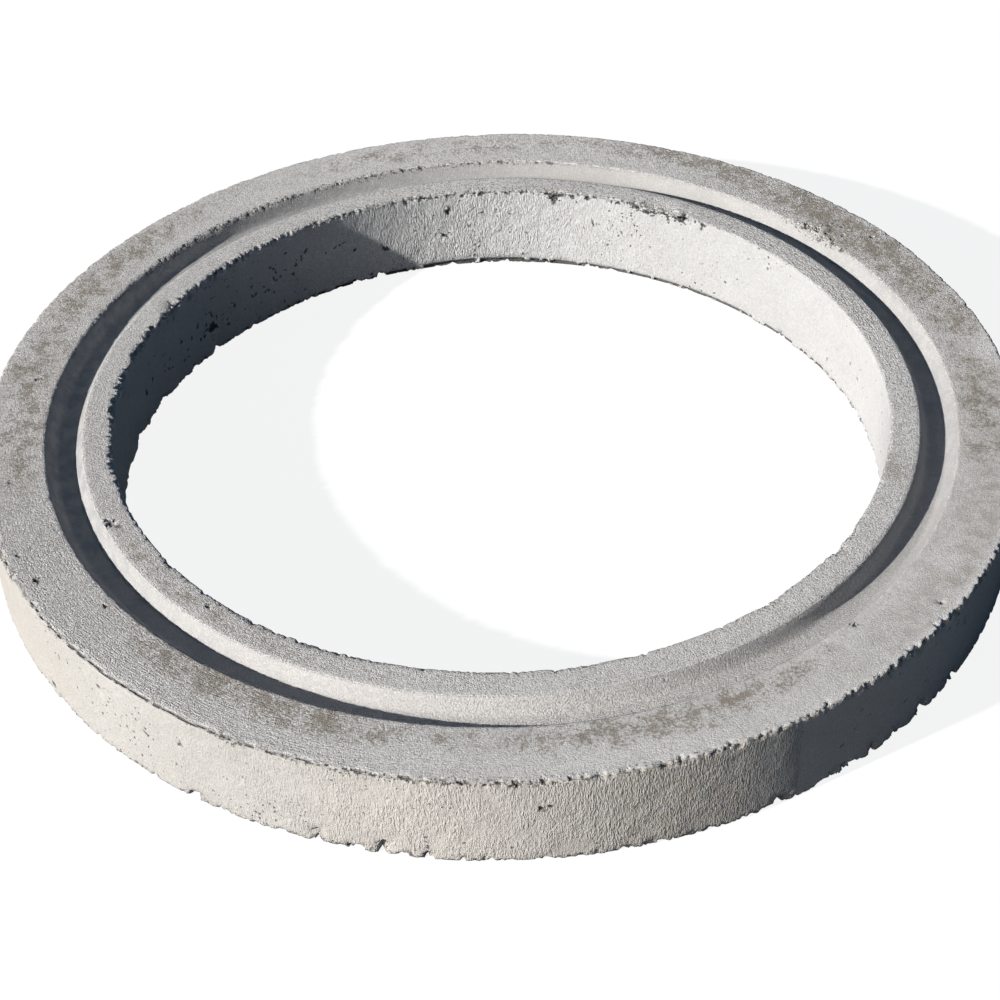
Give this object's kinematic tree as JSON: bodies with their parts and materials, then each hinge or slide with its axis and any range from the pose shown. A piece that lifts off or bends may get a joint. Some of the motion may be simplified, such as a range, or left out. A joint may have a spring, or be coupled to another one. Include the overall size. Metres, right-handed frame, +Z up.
{
  "type": "manhole adjustment ring",
  "caption": "Precast concrete adjustment ring for a manhole: flat annular casting with a wide clear opening and a tapered groove round its top face.",
  "frame": {"origin": "centre of the clear opening on the plane of the underside", "axes": "+Z up along the ring's axis, from the underside to the grooved top face"},
  "size_m": [0.835, 0.835, 0.08],
  "materials": {
    "concrete": "rough"
  },
  "bodies": {
    "root": {"adjustment_ring": "concrete"}
  },
  "joints": []
}
